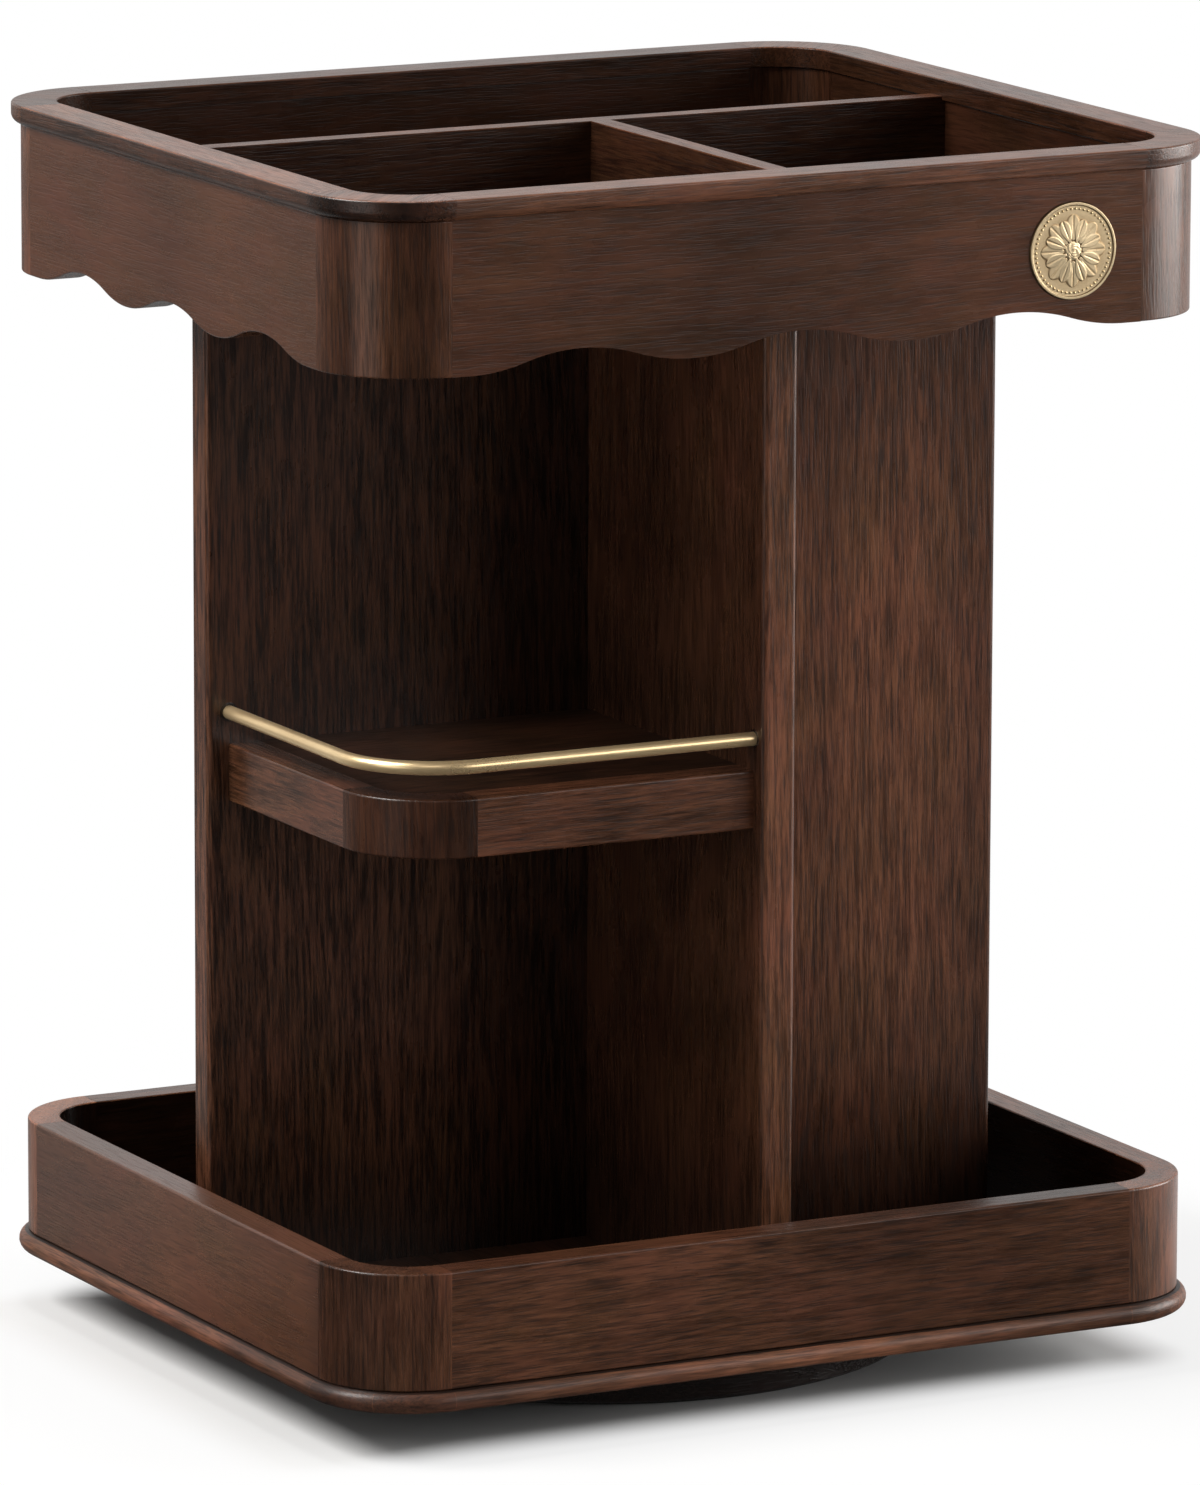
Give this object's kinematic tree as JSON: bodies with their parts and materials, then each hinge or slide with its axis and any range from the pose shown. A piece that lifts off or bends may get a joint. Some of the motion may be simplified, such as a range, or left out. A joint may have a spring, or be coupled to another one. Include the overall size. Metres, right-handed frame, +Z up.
{
  "type": "rotating makeup organizer",
  "caption": "Walnut carousel with a scalloped top tray over open shelf bays in a moulded tray, turning on a low round base.",
  "frame": {"origin": "on the table under the centre of the base disc, which is the axis the carousel turns on", "axes": "+Z up along the turning axis, -Y the front (the side with the medallion), +X to the right of it"},
  "size_m": [0.25, 0.223, 0.32],
  "materials": {
    "walnut": "dark walnut, satin lacquer",
    "black_stained_wood": "black stain, satin",
    "polished_brass": "polished",
    "gilt": "satin with a bright rim",
    "zinc_steel": "zinc plated",
    "nylon": "natural nylon",
    "black_rubber": "matt",
    "beech": "raw"
  },
  "bodies": {
    "base": {"base_pad": "black_rubber", "base_disc": "black_stained_wood", "lower_bearing_plate": "zinc_steel", "lower_plate_screws": "zinc_steel"},
    "bearing_cage": {"ball_cage": "nylon", "bearing_balls": "zinc_steel"},
    "carousel": {"apron_back_board": "walnut", "apron_back_left_corner": "walnut", "apron_back_right_corner": "walnut", "apron_front_board": "walnut", "apron_front_left_corner": "walnut", "apron_front_right_corner": "walnut", "apron_left_board": "walnut", "apron_right_board": "walnut", "base_board": "walnut", "cap_rim": "walnut", "column_dowels": "beech", "column_screws": "zinc_steel", "front_shelf_board": "walnut", "front_shelf_corner_block": "walnut", "front_shelf_dowels": "beech", "front_shelf_front_lipping": "walnut", "front_shelf_rail": "polished_brass", "front_shelf_side_lipping": "walnut", "left_wing": "walnut", "long_divider": "walnut", "medallion": "gilt", "rear_shelf_board": "walnut", "rear_shelf_corner_block": "walnut", "rear_shelf_dowels": "beech", "rear_shelf_front_lipping": "walnut", "rear_shelf_rail": "polished_brass", "rear_shelf_side_lipping": "walnut", "right_wing": "walnut", "short_divider": "walnut", "spine_wall": "walnut", "top_floor": "walnut", "tray_back_board": "walnut", "tray_back_left_corner": "walnut", "tray_back_right_corner": "walnut", "tray_front_board": "walnut", "tray_front_left_corner": "walnut", "tray_front_right_corner": "walnut", "tray_left_board": "walnut", "tray_right_board": "walnut", "upper_bearing_plate": "zinc_steel", "upper_plate_screws": "zinc_steel"}
  },
  "joints": [
    {"name": "turntable_spin", "type": "hinge", "parent": "base", "child": "carousel", "pos_m": [0, 0, 0.0111], "axis": [0, 0, 1], "continuous": true},
    {"name": "cage_spin", "type": "hinge", "parent": "base", "child": "bearing_cage", "pos_m": [0, 0, 0.0111], "axis": [0, 0, 1], "continuous": true}
  ],
  "couplings": [
    {"joint": "cage_spin", "follows": "turntable_spin", "ratio": 0.5}
  ]
}
